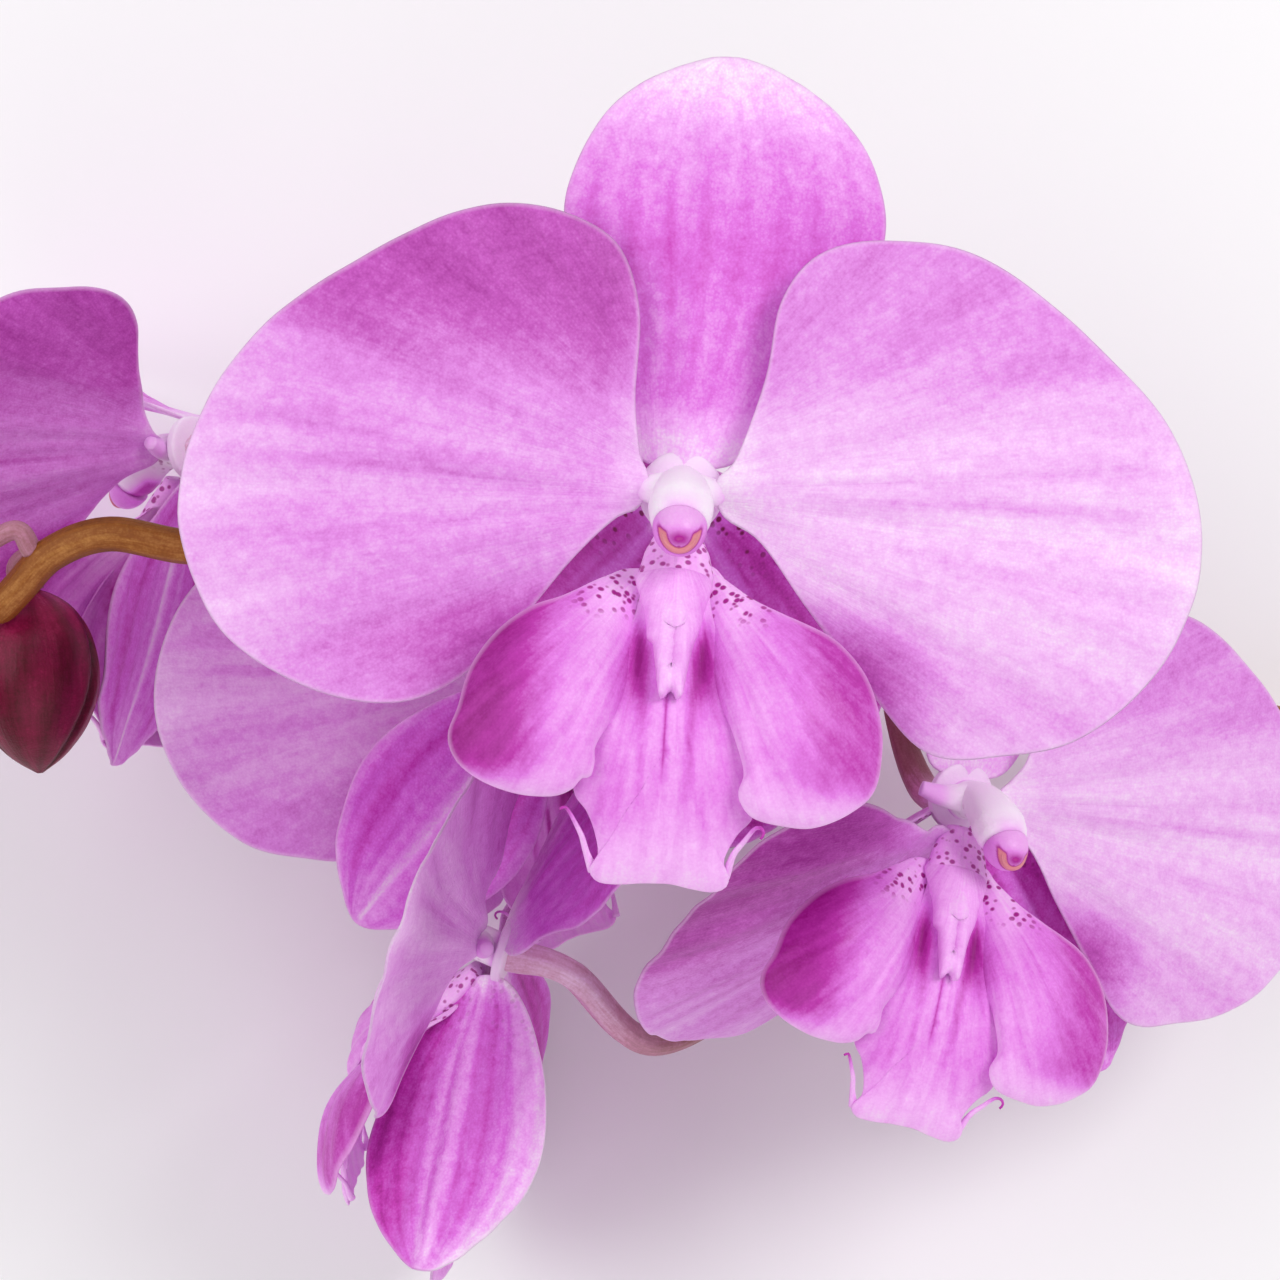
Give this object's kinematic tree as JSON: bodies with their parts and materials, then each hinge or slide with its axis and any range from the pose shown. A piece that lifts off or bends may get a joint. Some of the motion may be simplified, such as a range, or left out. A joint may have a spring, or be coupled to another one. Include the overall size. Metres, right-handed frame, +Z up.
{
  "type": "cut orchid",
  "caption": "Cut spray of a large-flowered pink moth orchid lying on its side: open blooms with spread petals and a lobed lip, buds and short stalks on one arching stem.",
  "frame": {"origin": "on the table, under the middle of the bounding box of the spray as it lies", "axes": "+X along the spray from the bud tip to the cut end of the stem, +Y across it towards the top of the main flower, +Z up from the table"},
  "size_m": [0.2956, 0.131, 0.105],
  "materials": {
    "petal": "satin",
    "sepal": "satin",
    "lip": "satin",
    "column": "satin",
    "anther": "satin",
    "stem": "satin",
    "stalk": "satin",
    "bud": "satin",
    "bract": "matte"
  },
  "bodies": {
    "root": {"flower_a_dorsal_sepal": "sepal", "flower_a_lateral_sepal_left": "sepal", "flower_a_lateral_sepal_right": "sepal", "flower_a_petal_left": "petal", "flower_a_petal_right": "petal", "flower_a_lip": "lip", "flower_a_column": "column", "flower_a_anther_cap": "anther", "flower_a_stalk": "stalk", "flower_a_bract": "bract", "flower_b_dorsal_sepal": "sepal", "flower_b_lateral_sepal_left": "sepal", "flower_b_lateral_sepal_right": "sepal", "flower_b_petal_left": "petal", "flower_b_petal_right": "petal", "flower_b_lip": "lip", "flower_b_column": "column", "flower_b_anther_cap": "anther", "flower_b_stalk": "stalk", "flower_b_bract": "bract", "flower_c_dorsal_sepal": "sepal", "flower_c_lateral_sepal_left": "sepal", "flower_c_lateral_sepal_right": "sepal", "flower_c_petal_left": "petal", "flower_c_petal_right": "petal", "flower_c_lip": "lip", "flower_c_column": "column", "flower_c_anther_cap": "anther", "flower_c_stalk": "stalk", "flower_c_bract": "bract", "flower_d_dorsal_sepal": "sepal", "flower_d_lateral_sepal_left": "sepal", "flower_d_lateral_sepal_right": "sepal", "flower_d_petal_left": "petal", "flower_d_petal_right": "petal", "flower_d_lip": "lip", "flower_d_column": "column", "flower_d_anther_cap": "anther", "flower_d_stalk": "stalk", "flower_d_bract": "bract", "flower_e_dorsal_sepal": "sepal", "flower_e_lateral_sepal_left": "sepal", "flower_e_lateral_sepal_right": "sepal", "flower_e_petal_left": "petal", "flower_e_petal_right": "petal", "flower_e_lip": "lip", "flower_e_column": "column", "flower_e_anther_cap": "anther", "flower_e_stalk": "stalk", "flower_e_bract": "bract", "peduncle": "stem", "bud_1": "bud", "bud_1_stalk": "stalk", "bud_2": "bud", "bud_2_stalk": "stalk", "bud_3": "bud", "bud_3_stalk": "stalk"}
  },
  "joints": []
}
